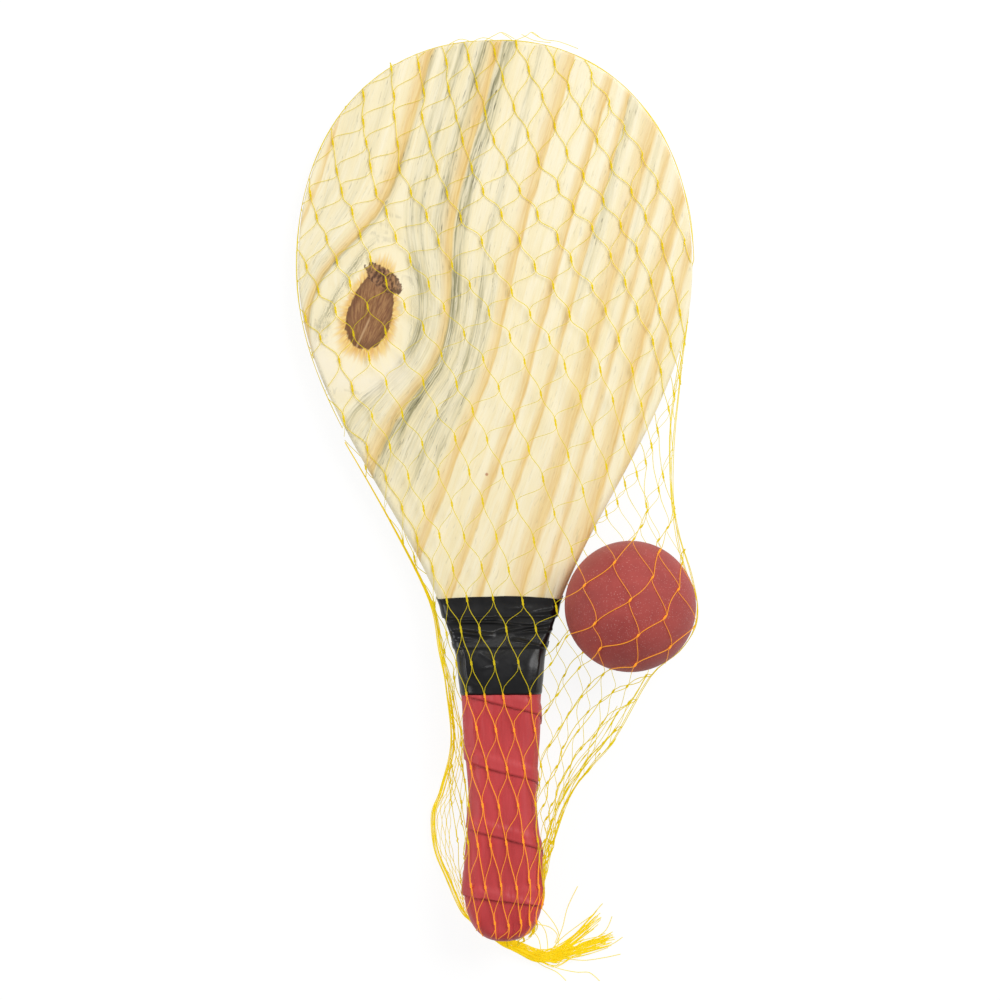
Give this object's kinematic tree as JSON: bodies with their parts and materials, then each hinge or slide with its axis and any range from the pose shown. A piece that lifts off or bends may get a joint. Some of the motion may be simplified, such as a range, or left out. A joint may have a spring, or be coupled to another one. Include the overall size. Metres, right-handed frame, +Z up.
{
  "type": "paddle ball game",
  "caption": "Wooden paddle with a taped throat and a spirally wrapped grip, and a hollow rubber ball, tied in one mesh bag with a brush of loose ends.",
  "frame": {"origin": "centre of the whole set's box, on the surface that it lies on", "axes": "+Z up from the surface, +Y along the bat from the handle to the blade's tip, +X to the side where the ball lies"},
  "size_m": [0.1692, 0.402, 0.0566],
  "materials": {
    "pine_board": "sanded pale pine, bare, with a dark knot",
    "cheek_wood": "sanded, bare",
    "black_tape": "glossy vinyl tape with small creases",
    "red_grip": "satin soft tape with fine wrinkles",
    "ball_rubber": "matt dusty rubber",
    "yellow_net": "knotted plastic strand"
  },
  "bodies": {
    "bat": {"blade_board": "pine_board", "front_cheek": "cheek_wood", "back_cheek": "cheek_wood", "throat_tape_upper": "black_tape", "throat_tape_lower": "black_tape", "grip_wrap": "red_grip", "butt_patch": "red_grip", "net_front": "yellow_net", "net_back": "yellow_net", "net_sleeve": "yellow_net", "net_side_bundle": "yellow_net", "net_upper_span": "yellow_net", "net_lower_span": "yellow_net", "net_tail": "yellow_net"},
    "pocket": {"net_pocket": "yellow_net"},
    "ball": {"rubber_ball": "ball_rubber"}
  },
  "joints": [
    {"name": "ball_shift", "type": "slide", "parent": "bat", "child": "pocket", "axis": [0.417, 0.9089, 0], "range_m": [-0.008, 0.008], "deforming": ["net_upper_span", "net_lower_span"]},
    {"name": "ball_turn", "type": "hinge", "parent": "pocket", "child": "ball", "pos_m": [0.05455, -0.04014, 0.0283], "axis": [0, 0, 1], "continuous": true}
  ]
}
